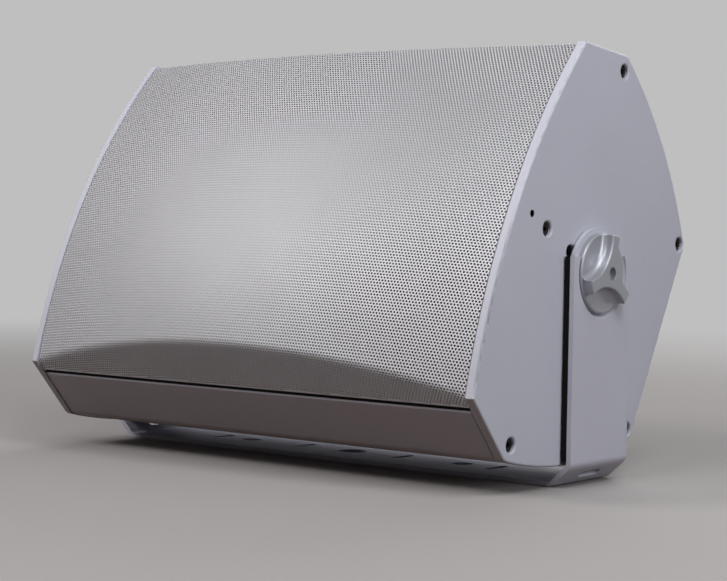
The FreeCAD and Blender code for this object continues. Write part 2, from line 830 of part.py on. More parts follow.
def crossover_standoffs():
    """Round posts with studs that pass through the wall and the board."""
    posts = []
    for x, v in standoff_places():
        post = rod(standoff_radius, V(x, board_rear_u, v), standoff_height, along_u)
        stud = rod(cup_screw_shank / 2, V(x, board_front_u - board_thickness, v),
                   standoff_height + 2 * board_thickness + shell_wall, along_u)
        posts.append(post.fuse(stud).removeSplitter())
    return group(posts)


def crossover_board():
    board = slab(board_x - board_length / 2, board_x + board_length / 2, board_front_u, board_rear_u,
                 -board_height / 2, board_height / 2)
    return board.cut([rod((cup_screw_shank + thread_play) / 2, V(x, board_front_u, v), board_thickness, along_u)
                      for x, v in standoff_places()])


def crossover_coil():
    """Air-cored choke standing on the board."""
    coil = ring_plate(coil_inner, coil_outer, board_front_u - coil_height, coil_height)
    coil.translate(V(board_x - coil_offset, 0, 0))
    return coil


def crossover_capacitors():
    """Two capacitors lying side by side on the board."""
    cans = []
    for side in (1, -1):
        start = V(board_x + coil_offset + side * capacitor_pitch / 2, board_front_u - capacitor_radius - glue_gap,
                  -capacitor_length / 2)
        cans.append(rod(capacitor_radius, start, capacitor_length, along_v))
    return group(cans)


def lining():
    """Felt sheet on the inside of the upper rear quarter of the wall."""
    outer = shell_reveal + shell_wall + glue_gap
    sheet = cabinet_prism(outer, -lining_half_length, 2 * lining_half_length)
    sheet = sheet.cut(cabinet_prism(outer + lining_thickness, -lining_half_length, 2 * lining_half_length))
    return sheet.common(slab(-half_length, half_length, lining_start_u, lining_end_u, rear_corner_v, shoulder_v))


def pivot_plate():
    """Steel plate behind the cap with a threaded boss through it and tapped holes for its two screws."""
    plate = slab(cap_inner_x - pivot_plate_thickness, cap_inner_x, -pivot_plate_length / 2, pivot_plate_length / 2,
                 -pivot_plate_height / 2, pivot_plate_height / 2)
    boss = rod(pivot_boss_radius, V(cap_inner_x - 2 * pivot_plate_thickness, 0, 0),
               2 * pivot_plate_thickness + cap_thickness, along_x)
    thread = rod(stud_radius + stud_play, V(cap_inner_x - 2 * pivot_plate_thickness, 0, 0),
                 2 * pivot_plate_thickness + cap_thickness, along_x)
    holes = [rod((cap_screw_shank + thread_play) / 2, V(cap_inner_x - pivot_plate_thickness, u, 0),
                 pivot_plate_thickness, along_x) for u in (pivot_screw_u, -pivot_screw_u)]
    return plate.fuse(boss).cut([thread] + holes).removeSplitter()


def friction_washer():
    return spun([(half_length, stud_radius + stud_play), (half_length, washer_radius), (seat_inner_x, washer_radius),
                 (seat_inner_x, stud_radius + stud_play)])


def knob_bays(floor):
    """Round cutters with a rounded bottom edge, which come in to the hub and leave the arms between them."""
    radius = knob_radius - knob_edge
    step = 360.0 / knob_bay_count
    half = math.radians(step / 2) - math.asin(knob_arm_width / 2 / radius)
    away = (radius ** 2 - knob_hub_radius ** 2) / (2 * (radius * math.cos(half) - knob_hub_radius))
    bays = []
    for k in range(knob_bay_count):
        bay = rod(away - knob_hub_radius, V(floor, away, 0), knob_height, along_x)
        low = [edge for edge in bay.Edges if near(edge.BoundBox.XMax, floor, touch)]
        bay = bay.makeFillet(knob_root, low)
        bay.rotate(V(0, 0, 0), along_x, step * (k + 0.5))
        bays.append(bay)
    return bays


def knob():
    """Disc with a three-armed grip left between round bays."""
    disc = rod(knob_radius, V(seat_outer_x, 0, 0), knob_disc, along_x)
    brink = [edge for edge in disc.Edges if near(edge.BoundBox.XMin, seat_outer_x + knob_disc, touch)]
    disc = disc.makeChamfer(knob_edge, brink)
    root = seat_outer_x + knob_disc - knob_edge
    blank = rod(knob_radius - knob_edge, V(root, 0, 0), knob_top_x - root, along_x)
    grip = blank.cut(knob_bays(seat_outer_x + knob_disc))
    rim = [edge for edge in grip.Edges if near(edge.BoundBox.XMin, knob_top_x, touch)]
    grip = grip.makeFillet(knob_edge, rim)
    grip.rotate(V(0, 0, 0), along_x, knob_turn)
    hole = rod(knob_hole_radius, V(knob_top_x - knob_hole_depth, 0, 0), knob_hole_depth, along_x)
    socket = rod(stud_radius + thread_play / 2, V(seat_outer_x, 0, 0), stud_in_knob, along_x)
    return disc.fuse(grip).cut([hole, socket]).removeSplitter()


def knob_stud():
    return rod(stud_radius, V(seat_outer_x + stud_in_knob - stud_length, 0, 0), stud_length, along_x)


def in_row(shape):
    """Cabinet frame to row frame: tilted about the pivot axis, then lifted to the pivot's height."""
    placed = shape.copy()
    placed.rotate(V(0, 0, 0), along_x, -tilt_at_rest)
    placed.translate(V(0, 0, pivot_height))
    return placed


def lifted(shape):
    placed = shape.copy()
    placed.translate(V(0, 0, pivot_height))
    return placed


def strip_section(inset, top):
    """U outline of the folded strip in the XZ plane, moved in by inset."""
    rise_angle = math.atan2(bracket_bend_rise, bracket_bend_run)
    base_x = arm_outer_x - bracket_bend_run - inset * math.tan(rise_angle / 2)
    arm_x = arm_outer_x - inset
    arm_z = bracket_bend_rise + inset * math.tan((math.pi / 2 - rise_angle) / 2)
    right = [V(base_x, 0, inset), V(arm_x, 0, arm_z), V(arm_x, 0, top)]
    left = [V(-p.x, p.y, p.z) for p in reversed(right)]
    corners = right + left
    solid = Part.Face(Part.makePolygon(corners + corners[:1])).extrude(V(0, bracket_width, 0))
    solid.translate(V(0, -bracket_width / 2, 0))
    edges = [e for e in solid.Edges if near(e.Length, bracket_width, touch) and e.CenterOfMass.z < top / 2]
    return solid.makeFillet(bracket_bend_round + bracket_thickness - inset, edges)


def slot(length, width, depth):
    """Round-ended slot along Y, centred on the origin, cutting depth each way along Z."""
    half = length / 2 - width / 2
    ends = [rod(width / 2, V(0, side * half, -depth), 2 * depth, along_v) for side in (1, -1)]
    middle = slab(-width / 2, width / 2, -half, half, -depth, depth)
    return middle.fuse(ends)


def seat():
    """Dish pressed towards the cap below the shoulders, and the round head above them."""
    bore = stud_radius + stud_play
    hidden = seat_radius + seat_wall
    dish = spun([(seat_inner_x, bore), (seat_inner_x, hidden), (arm_inner_x, hidden + seat_slope),
                 (arm_outer_x, hidden + seat_slope), (arm_outer_x, seat_radius + seat_slope),
                 (seat_outer_x, seat_radius), (seat_outer_x, bore)])
    above = slab(half_length, knob_top_x, -cutter_reach, cutter_reach, shoulder_above_pivot, cutter_reach)
    head = spun([(seat_inner_x, bore), (seat_inner_x, head_radius),
                 (seat_outer_x, head_radius), (seat_outer_x, bore)])
    return lifted(dish.cut(above).fuse(head.common(above)))


def arm_pad():
    """Foam sheet on the arm's inner face, cut round the dish."""
    half = bracket_width / 2 - pad_margin
    low = bracket_bend_rise + pad_from_bend - pivot_height
    sheet = slab(half_length + pad_play, arm_inner_x, -half, half, low, shoulder_above_pivot - pad_margin)
    clear = seat_radius + seat_wall + seat_slope + pad_margin
    return sheet.cut(rod(clear, V(half_length, 0, 0), bracket_gap, along_x))


def u_bracket():
    """Folded strip with square shoulders, pressed seats, base holes and slots."""
    shoulder_z = pivot_height + shoulder_above_pivot
    strip = strip_section(0.0, shoulder_z).cut(strip_section(bracket_thickness, shoulder_z))
    clear = seat_radius + seat_wall + seat_slope / 2
    strip = strip.cut(rod(clear, V(-cutter_reach, 0, pivot_height), 2 * cutter_reach, along_x))
    strip = strip.fuse([seat(), left_hand(seat())]).removeSplitter()
    cuts = [rod(centre_hole_radius, V(0, 0, -bracket_thickness), 3 * bracket_thickness, along_v)]
    for side in (1, -1):
        foot = V(side * base_hole_x, 0, -bracket_thickness)
        cuts.append(rod(base_hole_radius, foot, 3 * bracket_thickness, along_v))
        for x in (slot_near_x, slot_far_x):
            cut = slot(slot_length, slot_width, 2 * bracket_thickness)
            cut.translate(V(side * x, 0, 0))
            cuts.append(cut)
        bend = slot(slot_length, slot_width, 2 * bracket_thickness)
        bend.rotate(V(0, 0, 0), along_u, -side * math.degrees(math.atan2(bracket_bend_rise, bracket_bend_run)))
        bend.translate(V(side * (arm_outer_x - bracket_bend_run / 2), 0, bracket_bend_rise / 2))
        cuts.append(bend)
    return strip.cut(cuts)


pieces = {
    "u_bracket": u_bracket(),
    "enclosure_shell": in_row(enclosure_shell()),
    "baffle": in_row(baffle()),
    "grille": in_row(grille()),
    "grille_cloth": in_row(grille_cloth()),
    "grille_seals": in_row(grille_seals()),
    "grille_pins": in_row(grille_pins()),
    "basket": in_row(basket()),
    "driver_gasket": in_row(driver_gasket()),
    "driver_screws": in_row(driver_screws()),
    "surround": in_row(surround()),
    "cone": in_row(cone()),
    "dust_cap": in_row(dust_cap()),
    "spider": in_row(spider()),
    "voice_coil_former": in_row(voice_coil_former()),
    "voice_coil": in_row(voice_coil()),
    "top_plate": in_row(ring_plate(top_plate_hole, top_plate_radius, top_plate_u, top_plate_thickness)),
    "magnet": in_row(ring_plate(magnet_hole, magnet_radius, magnet_u, magnet_thickness)),
    "yoke": in_row(yoke()),
    "terminal_cup": in_row(terminal_cup()),
    "terminal_gasket": in_row(terminal_gasket()),
    "cup_screws": in_row(cup_screws()),
    "terminal_block": in_row(terminal_block()),
    "terminal_screws": in_row(terminal_screws()),
    "crossover_standoffs": in_row(crossover_standoffs()),
    "crossover_board": in_row(crossover_board()),
    "crossover_coil": in_row(crossover_coil()),
    "crossover_capacitors": in_row(crossover_capacitors()),
    "lining_upper": in_row(lining()),
    "lining_lower": in_row(both_sides(lining())[1]),
}
right_hand = {
    "end_cap": end_cap(),
    "cap_gasket": cap_gasket(),
    "cap_screws": cap_screws(),
    "pivot_plate": pivot_plate(),
    "friction_washer": friction_washer(),
    "arm_pad": arm_pad(),
    "knob": knob(),
    "knob_stud": knob_stud(),
}
upright = ("friction_washer", "arm_pad", "knob", "knob_stud")
for name, solid in right_hand.items():
    place = lifted if name in upright else in_row
    pieces[name + "_right"] = place(solid)
    pieces[name + "_left"] = place(left_hand(solid))

os.makedirs("parts", exist_ok=True)
for name, solid in pieces.items():
    solid.exportStep(f"parts/{name}.step")
    print(name, len(solid.Solids), round(solid.Volume / 1000, 2), solid.isValid())
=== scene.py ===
import json
import math

import bpy
import numpy as np
from mathutils import Matrix, Vector


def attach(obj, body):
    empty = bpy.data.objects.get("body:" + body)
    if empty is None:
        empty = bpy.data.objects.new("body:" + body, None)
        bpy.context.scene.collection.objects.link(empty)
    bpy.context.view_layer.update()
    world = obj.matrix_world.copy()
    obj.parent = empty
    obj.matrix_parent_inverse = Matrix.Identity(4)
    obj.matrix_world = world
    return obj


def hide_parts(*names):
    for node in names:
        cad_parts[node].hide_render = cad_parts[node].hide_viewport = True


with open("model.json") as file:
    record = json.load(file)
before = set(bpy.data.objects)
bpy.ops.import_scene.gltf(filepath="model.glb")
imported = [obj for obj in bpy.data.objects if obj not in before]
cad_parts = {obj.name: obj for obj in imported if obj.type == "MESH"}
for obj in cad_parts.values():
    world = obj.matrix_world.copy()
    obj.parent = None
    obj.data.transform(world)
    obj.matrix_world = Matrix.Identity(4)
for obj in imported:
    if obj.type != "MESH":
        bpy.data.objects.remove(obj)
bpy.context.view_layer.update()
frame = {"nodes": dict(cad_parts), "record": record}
nodes = frame["nodes"]
print("frame loaded:", len(nodes), "solids")

stance = {"tilt": math.radians(27.8), "pivotHeight": 0.1485}  # cabinet turned about X, pivot above the base


def toFrame(x, u, v):
    # cabinet (x, u to the rear, v up the face) turned by the tilt and lifted to the pivot
    c = math.cos(stance["tilt"])
    s = math.sin(stance["tilt"])
    return np.stack([x, u * c + v * s, v * c - u * s + stance["pivotHeight"]], -1)


def meshFrom(name, points, triangles):
    mesh = bpy.data.meshes.new(name)
    mesh.vertices.add(len(points))
    mesh.vertices.foreach_set("co", np.ascontiguousarray(points, np.float32).ravel())
    mesh.loops.add(len(triangles) * 3)
    mesh.loops.foreach_set("vertex_index", np.ascontiguousarray(triangles, np.int32).ravel())
    mesh.polygons.add(len(triangles))
    mesh.polygons.foreach_set("loop_start", np.arange(0, len(triangles) * 3, 3, dtype=np.int32))
    mesh.polygons.foreach_set("use_smooth", np.ones(len(triangles), bool))
    mesh.update(calc_edges=True)
    piece = bpy.data.objects.new(name, mesh)
    bpy.context.scene.collection.objects.link(piece)
    return piece


# perforated grille: one bowed sheet with sloping returns, its holes cut through the mesh

grilleLook = {
    "crown": 0.535,          # radius of the arc up the face
    "midCrest": -0.1277,     # u of the sheet's foremost line
    "sweep": 0.97454,        # radius of the bow from end to end
    "rimU": -0.0792,         # where the returns end
    "rimV": 0.140078,
    "returnSlope": 0.53,     # v per u along the returns
    "creaseRounds": 20,      # substitutions that settle the height of the crease
    "creaseBand": 0.007,     # height over which the crease is rounded
    "bandSteps": 7,          # samples in that band
    "halfLength": 0.2071,
    "sheet": 0.0012,         # thickness
    "pitch": 0.00243,        # from hole to hole
    "holeRadius": 0.00088,   # corner radius of a six-sided hole
    "edge": 0.0012,          # least distance of a hole's centre from the rims; the ends cut through holes
    "probe": 1e-4,           # step along the sheet that gives its normals
    "joinGrid": 1e7,         # steps per metre at which points are told apart
    "leastFace": 5e-9,       # area below which a triangle is left out
    "rimPoints": 240,        # points along a rim
    "rimInset": 5e-4,        # how far inside the rim its normal is taken
    "endPoints": 400,        # points up an end
    "panels": 4,             # meshes side by side, so that none is too heavy
}


def domeU(x, v):
    # arc over v carried round an upright line: u = axis - sqrt(rho(v)^2 - x^2)
    g = grilleLook
    sag = g["crown"] - np.sqrt(g["crown"] ** 2 - v ** 2)
    rho = g["sweep"] - sag
    return g["midCrest"] + g["sweep"] - np.sqrt(rho ** 2 - x ** 2)


def creaseV(x):
    # height where the dome meets the sloping return, by repeated substitution
    g = grilleLook
    v = np.full_like(x, g["rimV"])
    for step in range(g["creaseRounds"]):
        v = g["rimV"] + (domeU(x, v) - g["rimU"]) * g["returnSlope"]
    return v


def halfWidth(x):
    # developed half width: arc up to the crease, then the return down to its rim
    g = grilleLook
    v = creaseV(x)
    arc = g["crown"] * np.arcsin(v / g["crown"])
    return arc, arc + (g["rimU"] - domeU(x, v)) * math.hypot(1, g["returnSlope"])


def sheetUv(x, t):
    # cabinet (u, v) at x and at developed height t: v = R sin(t / R) on the dome, straight along the return,
    # and the mean of these over a short band, which rounds the crease
    g = grilleLook
    arc = halfWidth(x)[0]
    steps = g["bandSteps"]
    band = g["creaseBand"] * (np.arange(steps) - steps // 2) / steps
    total = 0
    for height in (t + step for step in band):
        onDome = np.clip(np.abs(height), 0, arc)
        run = (np.abs(height) - onDome) / math.hypot(1, g["returnSlope"])
        v = g["crown"] * np.sin(onDome / g["crown"])
        total = total + np.stack([domeU(x, v) + run, np.sign(height) * (v + run * g["returnSlope"])])
    return total / steps


def sheetPoint(x, t):
    return toFrame(x, *sheetUv(x, t))


def outward(x, t):
    # unit normal: cross product of two short steps along the sheet
    step = grilleLook["probe"]
    along = sheetPoint(x + step, t) - sheetPoint(x - step, t)
    up = sheetPoint(x, t + step) - sheetPoint(x, t - step)
    normal = np.cross(along, up)
    return normal / np.linalg.norm(normal, axis=-1, keepdims=True)


def numbersOver(reach, step):
    # whole numbers whose multiples of step run from -reach to reach, and one more at each end
    last = math.ceil(reach / step) + 1
    return np.arange(-last, last + 1)


def grilleLattice():
    # staggered rows of six-sided holes; a place without a hole shrinks to its centre, clamped to the edge
    g = grilleLook
    rowStep = g["pitch"] * math.sqrt(3) / 2
    widest = halfWidth(np.zeros(1))[1][0]
    rows = numbersOver(widest, rowStep)
    columns = numbersOver(g["halfLength"], g["pitch"])
    k, i = np.meshgrid(rows, columns, indexing="ij")
    x = (i + 0.5 * (k % 2)) * g["pitch"]
    t = k * rowStep
    inX = np.clip(x, -g["halfLength"], g["halfLength"])
    reach = halfWidth(inX)[1]
    hole = (np.abs(x) < g["halfLength"]) & (np.abs(t) < reach - g["edge"])
    angle = np.radians(30 + 60 * np.arange(6))
    size = np.where(hole, g["holeRadius"], 0.0)[..., None]
    hexX = np.clip(inX[..., None] + size * np.cos(angle), -g["halfLength"], g["halfLength"])
    hexT = np.where(hole, t, np.clip(t, -reach, reach))[..., None] + size * np.sin(angle)
    return hexX, hexT, hole


def latticeFaces(hole):
    # quads between facing edges of neighbours and triangles in the gaps between three of them
    rows, columns = hole.shape
    ids = np.arange(rows * columns * 6).reshape(rows, columns, 6)
    ids = np.where(hole[..., None], ids, ids[..., :1])
    odd = (np.arange(rows) + rows // 2) % 2  # 1 in the rows that are set over by half a pitch
    r, c = np.meshgrid(np.arange(rows - 1), np.arange(1, columns - 2), indexing="ij")
    here = ids[r, c]
    right = ids[r, c + 1]
    up = ids[r + 1, c + odd[r]]
    left = ids[r + 1, c + odd[r] - 1]

    def quad(first, second, third, fourth):
        return [np.stack([first, second, third], -1), np.stack([first, third, fourth], -1)]

    faces = quad(here[..., 5], right[..., 3], right[..., 2], here[..., 0])
    faces += quad(here[..., 0], up[..., 4], up[..., 3], here[..., 1])
    faces += quad(here[..., 1], left[..., 5], left[..., 4], here[..., 2])
    faces += [np.stack([here[..., 0], right[..., 2], up[..., 4]], -1),
              np.stack([here[..., 1], up[..., 3], left[..., 5]], -1)]
    return np.concatenate([f.reshape(-1, 3) for f in faces])


def triangleArea(points, triangles):
    a, b, c = (points[triangles[:, n]] for n in range(3))
    return np.linalg.norm(np.cross(b - a, c - a), axis=1) / 2


def packed(points, triangles):
    # drop unused points
    used, triangles = np.unique(triangles, return_inverse=True)
    return points[used], triangles.reshape(-1, 3)


def gridFaces(rows, columns):
    # two triangles in each cell of a grid, facing along row step x column step
    r, c = np.meshgrid(np.arange(rows - 1), np.arange(columns - 1), indexing="ij")
    a = (r * columns + c).ravel()
    return np.concatenate([np.stack([a, a + columns, a + columns + 1], -1),
                           np.stack([a, a + columns + 1, a + 1], -1)])


def grilleSkin(hexX, hexT, hole):
    # outer face of the sheet, with places that share a point joined
    g = grilleLook
    triangles = latticeFaces(hole)
    flat = np.stack([hexX.ravel(), hexT.ravel(), np.zeros(hexX.size)], -1)
    place = np.round(flat * g["joinGrid"]).astype(np.int64)
    first, index = np.unique(place, axis=0, return_index=True, return_inverse=True)[1:]
    triangles = first[index.ravel()[triangles]]
    triangles = triangles[triangleArea(flat, triangles) > g["leastFace"]]
    return packed(sheetPoint(hexX.ravel(), hexT.ravel()), triangles)


def holeWalls(hexX, hexT, hole):
    # six-sided tubes: each ring of corners and its copy pushed in by the sheet's thickness
    x = hexX[hole]
    t = hexT[hole]
    mouth = sheetPoint(x, t)
    throat = mouth - grilleLook["sheet"] * outward(x.mean(1), t.mean(1))[:, None]
    a = np.arange(6)
    b = (a + 1) % 6
    tube = np.concatenate([np.stack([a, b, b + 6], -1), np.stack([a, b + 6, a + 6], -1)])
    triangles = np.arange(len(x))[:, None, None] * 12 + tube
    return np.concatenate([mouth, throat], 1).reshape(-1, 3), triangles.reshape(-1, 3)


def grilleHems():
    # thickness along the two rims, and an end flange from the sheet's end back to the rim at each x
    g = grilleLook
    strips = []
    x = np.linspace(-g["halfLength"], g["halfLength"], g["rimPoints"])
    for side in (1, -1):
        t = side * halfWidth(x)[1]
        rim = sheetPoint(x, t)
        inside = rim - g["sheet"] * outward(x, t - side * g["rimInset"])
        strips.append((rim, inside) if side < 0 else (inside, rim))
    for side in (1, -1):
        x = np.full(g["endPoints"], side * g["halfLength"])
        reach = halfWidth(x[:1])[1][0]
        u, v = sheetUv(x, np.linspace(-reach, reach, len(x)))
        front = toFrame(x, u, v)
        back = toFrame(x, np.full_like(u, g["rimU"]), v)
        strips.append((front, back) if side > 0 else (back, front))
    return [(np.concatenate(strip), gridFaces(2, len(strip[0]))) for strip in strips]


def buildGrille():
    g = grilleLook
    hexX, hexT, hole = grilleLattice()
    parts = [grilleSkin(hexX, hexT, hole), holeWalls(hexX, hexT, hole)] + grilleHems()
    offset = np.cumsum([0] + [len(own) for own, faces in parts])
    points = np.concatenate([own for own, faces in parts])
    triangles = np.concatenate([faces + shift for (own, faces), shift in zip(parts, offset)])
    middle = points[triangles][:, :, 0].mean(1)
    panel = np.clip(((middle / g["halfLength"] + 1) / 2 * g["panels"]).astype(int), 0, g["panels"] - 1)
    sheets = [meshFrom(f"grilleSheet{n + 1}", *packed(points, triangles[panel == n]))
              for n in range(g["panels"])]
    print("grille:", int(hole.sum()), "holes,", len(triangles), "triangles in", len(sheets), "panels")
    return sheets


grilleSheets = buildGrille()
for sheet in grilleSheets:
    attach(sheet, "cabinet")
    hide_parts("grille")


# finishes

class Wire:
    # one socket; operators between wires and numbers add Math nodes
    def __init__(self, tree, socket):
        self.tree = tree
        self.socket = socket

    def math(self, operation, *ends):
        node = self.tree.nodes.new("ShaderNodeMath")
        node.operation = operation
        for slot, end in zip(node.inputs, ends):
            if isinstance(end, Wire):
                self.tree.links.new(end.socket, slot)
            else:
                slot.default_value = end
        return Wire(self.tree, node.outputs[0])

    def __add__(self, other):
        return self.math("ADD", self, other)

    def __radd__(self, other):
        return self.math("ADD", other, self)

    def __sub__(self, other):
        return self.math("SUBTRACT", self, other)

    def __rsub__(self, other):
        return self.math("SUBTRACT", other, self)

    def __mul__(self, other):
        return self.math("MULTIPLY", self, other)

    def __rmul__(self, other):
        return self.math("MULTIPLY", other, self)

    def __pow__(self, other):
        return self.math("POWER", self, other)

    def __gt__(self, other):
        return self.math("GREATER_THAN", self, other)


class Graph:
    # one node tree; add() makes any node from its type, its settings and its sockets
    def __init__(self, tree):
        self.tree = tree

    def add(self, kind, settings=None, sockets=None, output=0):
        node = self.tree.nodes.new(kind)
        for key, value in (settings or {}).items():
            setattr(node, key, value)
        for key, value in (sockets or {}).items():
            self.join(node.inputs[key], value)
        return Wire(self.tree, node.outputs[output]) if output is not None else None

    def join(self, socket, value):
        if isinstance(value, Wire):
            self.tree.links.new(value.socket, socket)
        elif hasattr(value, "__len__") and len(value) == 3 and socket.type == "RGBA":
            socket.default_value = (*value, 1.0)
        else:
            socket.default_value = value

    def backdropRays(self):
        # 1 for rays that show the backdrop: from the camera, from a gloss and through a clear piece
        seen, gloss, clear = (self.add("ShaderNodeLightPath", output=f"Is {kind} Ray")
                              for kind in ("Camera", "Glossy", "Transmission"))
        return seen.math("MAXIMUM", seen.math("MAXIMUM", seen, gloss), clear)


class Finish(Graph):
    # one material
    def __init__(self, name):
        self.material = bpy.data.materials.new(name)
        self.material.use_nodes = True
        super().__init__(self.material.node_tree)
        self.shader = self.tree.nodes["Principled BSDF"]
        self.place = self.add("ShaderNodeTexCoord", output="Object")

    def set(self, **sockets):
        for key, value in sockets.items():
            self.join(self.shader.inputs[key.replace("_", " ")], value)

    def noise(self, scale, detail=3.0, roughness=0.5, at=None):
        return self.add("ShaderNodeTexNoise", sockets={
            "Vector": at or self.place, "Scale": scale, "Detail": detail, "Roughness": roughness})

    def cells(self, scale):
        return self.add("ShaderNodeTexVoronoi", sockets={"Vector": self.place, "Scale": scale},
                        output="Distance")

    def waves(self, scale, direction, distortion, at):
        return self.add("ShaderNodeTexWave", {"wave_type": "BANDS", "bands_direction": direction},
                        {"Vector": at, "Scale": scale, "Distortion": distortion}, "Fac")

    def blend(self, factor, first, second):
        # sockets 6 and 7 and output 2 are the Mix node's colours
        return self.add("ShaderNodeMix", {"data_type": "RGBA"}, {0: factor, 6: first, 7: second}, 2)

    def tones(self, factor, colour, dark, light):
        # from a darker to a lighter shade of one colour
        first, second = (tuple(min(1.0, c * shade) for c in colour) for shade in (dark, light))
        return self.blend(factor, first, second)

    def bump(self, height, strength, distance, edge=0.0):
        # edge softens the corners of a solid before the bump goes on
        sockets = {"Strength": strength, "Distance": distance, "Height": height}
        if edge:
            sockets["Normal"] = self.add("ShaderNodeBevel", {"samples": 6}, {"Radius": edge})
        self.set(Normal=self.add("ShaderNodeBump", sockets=sockets))

    def inCabinet(self):
        # place in the frame turned back to the upright cabinet, so patterns follow its faces
        return self.add("ShaderNodeMapping", {"vector_type": "TEXTURE"},
                        {"Vector": self.place, "Location": (0, 0, stance["pivotHeight"]),
                         "Rotation": (-stance["tilt"], 0, 0)})

    def nearAxis(self, u, v, radius):
        # 1 within a radius of the line along X through (u, v) of the cabinet
        offset = self.add("ShaderNodeVectorMath", {"operation": "MULTIPLY_ADD"},
                          {0: self.inCabinet(), 1: (0, 1, 1), 2: (0, -u, -v)})
        return 1 - (self.add("ShaderNodeVectorMath", {"operation": "LENGTH"}, {0: offset}, "Value") > radius)


def powderCoat(name, look):
    # baked powder: soft orange peel, fine grain, faint clouds and handling marks
    f = Finish(name)
    clouds = f.noise(look["cloudScale"], detail=4.0, roughness=0.55)
    grain = f.noise(look["grainScale"], detail=2.0, roughness=0.6)
    peel = f.noise(look["peelScale"], detail=2.0)
    marks = f.noise(look["markScale"], detail=6.0, roughness=0.7) ** 6.0
    colour = f.tones(clouds * 0.55 + grain * 0.45, look["colour"], dark=0.86, light=1.13)
    if "thread" in look:  # painted shade: near black round the pin hole's axis, in place of the shade inside the hole
        colour = f.blend(f.nearAxis(*look["thread"]), colour, look["threadColour"])
    f.set(Base_Color=colour, Roughness=look["roughness"] + (grain - 0.5) * 0.16 + marks * 0.5,
          Metallic=look["metallic"], Specular_IOR_Level=look["specular"])
    f.bump(grain * 0.6 + peel, strength=look["bump"], distance=0.0004, edge=look["edge"])
    return f.material


def blackOxide(name, look):
    # worn to a lighter grey in spots
    f = Finish(name)
    grain = f.noise(look["grainScale"])
    worn = f.noise(look["wornScale"], detail=5.0, roughness=0.65) > look["wornFrom"]
    f.set(Base_Color=f.blend(grain * 0.5 + worn * 0.5, look["colour"], look["wornColour"]),
          Roughness=0.34 + grain * 0.25, Metallic=look["metallic"], Specular_IOR_Level=look["specular"])
    f.bump(grain, strength=0.25, distance=0.0002)
    return f.material


def platedSteel(name, look):
    # zinc: cloudy spangle over fine drawn lines
    f = Finish(name)
    spangle = f.cells(look["spangleScale"])
    lines = f.noise(look["lineScale"], detail=2.0)
    f.set(Base_Color=f.tones(spangle * 0.7 + lines * 0.3, look["colour"], dark=0.75, light=1.15),
          Roughness=0.24 + spangle * 0.22 + lines * 0.1, Metallic=0.92)
    f.bump(lines, strength=0.12, distance=0.0002)
    return f.material


def sandCast(name, look):
    f = Finish(name)
    sand = f.noise(look["sandScale"], detail=4.0, roughness=0.65)
    pits = f.cells(look["pitScale"])
    f.set(Base_Color=f.tones(sand, look["colour"], dark=0.7, light=1.4),
          Roughness=0.55 + sand * 0.25, Metallic=look["metallic"])
    f.bump(sand + pits * 0.5, strength=0.5, distance=0.0005)
    return f.material


def woundWire(name, look):
    # turns of enamelled wire as bands across the winding
    f = Finish(name)
    at = f.inCabinet()
    turns = f.waves(look["turnScale"], "Y", distortion=0.4, at=at)
    tint = f.noise(look["tintScale"], at=at)
    f.set(Base_Color=f.tones(turns * 0.6 + tint * 0.4, look["colour"], dark=0.45, light=1.25),
          Roughness=0.22 + tint * 0.2, Metallic=0.85)
    f.bump(turns, strength=0.6, distance=0.0004)
    return f.material


def fibreboard(name, look):
    f = Finish(name)
    fibres = f.noise(look["fibreScale"], detail=6.0, roughness=0.7)
    clumps = f.noise(look["clumpScale"])
    f.set(Base_Color=f.tones(fibres * 0.6 + clumps * 0.4, look["colour"], dark=0.6, light=1.45),
          Roughness=0.75 + fibres * 0.2)
    f.bump(fibres, strength=0.35, distance=0.0004)
    return f.material


def wovenCloth(name, look):
    # plain weave: two crossed sets of bands, one over the other
    f = Finish(name)
    at = f.inCabinet()
    warp = f.waves(look["threadScale"], "X", distortion=0.3, at=at)
    weft = f.waves(look["threadScale"], "Z", distortion=0.3, at=at)
    fuzz = f.noise(look["fuzzScale"])
    weave = warp * weft
    f.set(Base_Color=f.tones(weave * 0.7 + fuzz * 0.3, look["colour"], dark=0.4, light=1.6),
          Roughness=0.82 + fuzz * 0.15)
    f.bump(weave + fuzz * 0.3, strength=0.7, distance=0.0003)
    return f.material


def pressedFelt(name, look):
    f = Finish(name)
    wool = f.noise(look["woolScale"], detail=8.0, roughness=0.75)
    tufts = f.noise(look["tuftScale"], detail=4.0, roughness=0.6)
    f.set(Base_Color=f.tones(wool * 0.7 + tufts * 0.3, look["colour"], dark=0.5, light=1.6),
          Roughness=0.9 + wool * 0.1)
    f.bump(wool + tufts, strength=0.9, distance=0.001)
    return f.material


def mouldedRubber(name, look):
    # paler where the bloom lies
    f = Finish(name)
    skin = f.noise(look["skinScale"])
    bloom = f.noise(look["bloomScale"], detail=4.0, roughness=0.6)
    f.set(Base_Color=f.tones(bloom, look["colour"], dark=1.0, light=2.2),
          Roughness=look["roughness"] + bloom * 0.2, Specular_IOR_Level=look["specular"])
    f.bump(skin, strength=0.3, distance=0.0003)
    return f.material


def pressedPulp(name, look):
    f = Finish(name)
    fibres = f.noise(look["fibreScale"], detail=7.0, roughness=0.75)
    f.set(Base_Color=f.tones(fibres, look["colour"], dark=0.6, light=2.0), Roughness=0.7 + fibres * 0.25)
    f.bump(fibres, strength=0.5, distance=0.0004)
    return f.material


def mouldedPlastic(name, look):
    # spark-eroded mould texture: fine pits and a slightly shiny skin
    f = Finish(name)
    pits = f.cells(look["pitScale"])
    grain = f.noise(look["pitScale"] * 0.4)
    f.set(Base_Color=f.tones(grain, look["colour"], dark=0.75, light=1.5),
          Roughness=look["roughness"] + grain * 0.18)
    f.bump(pits + grain, strength=look["bump"], distance=0.0003)
    return f.material


